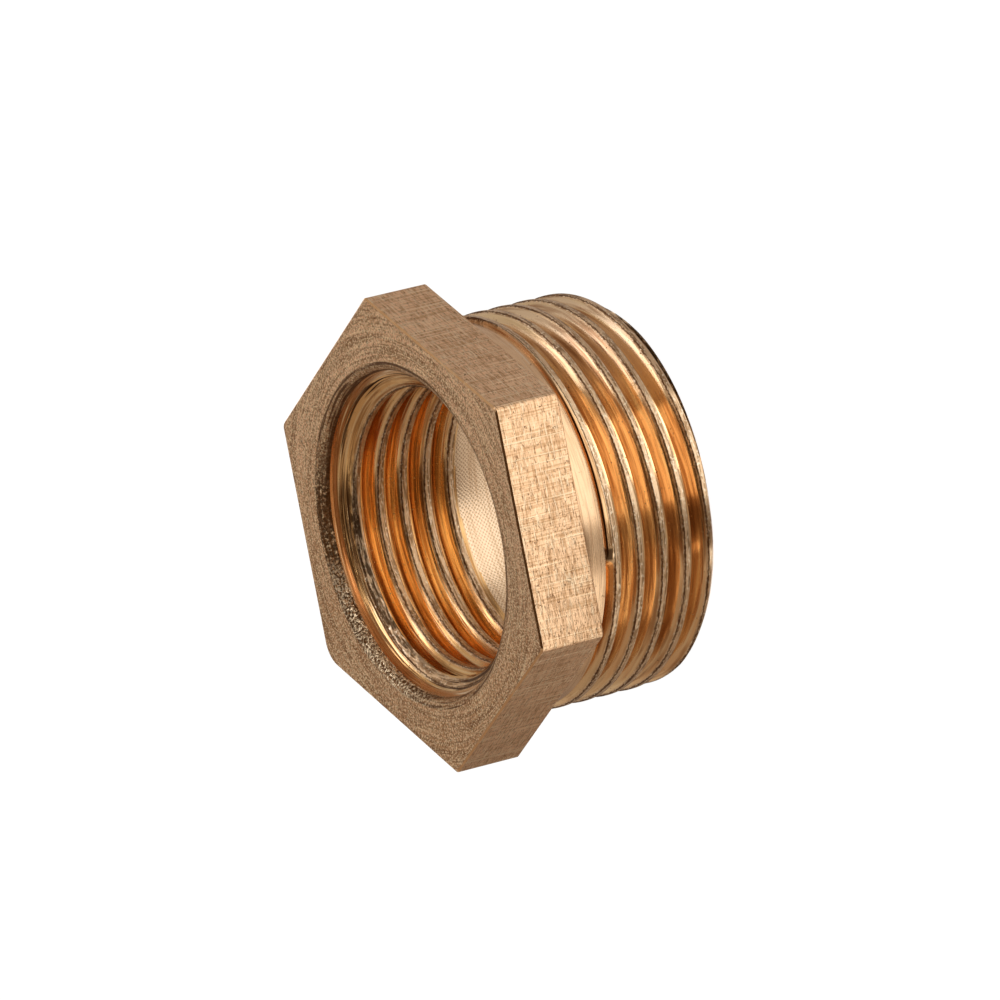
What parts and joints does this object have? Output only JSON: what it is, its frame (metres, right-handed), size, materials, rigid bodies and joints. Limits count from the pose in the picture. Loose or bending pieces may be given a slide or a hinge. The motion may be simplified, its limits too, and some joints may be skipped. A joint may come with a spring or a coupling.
{
  "type": "hex bushing",
  "caption": "Brass hex reducing bushing with a coarse male pipe thread on its shank and a smaller female pipe thread in its bore.",
  "frame": {"origin": "centre of the male end face, which the bushing stands on", "axes": "+Z along the bore axis from the male end to the hex collar; +X through a corner of the hex, Y across a pair of its flats"},
  "size_m": [0.0314, 0.0274, 0.0155],
  "materials": {
    "turned_brass": "turned and thread-cut brass, sawn hex face and drawn hex flats, unplated"
  },
  "bodies": {
    "root": {"bushing": "turned_brass"}
  },
  "joints": []
}
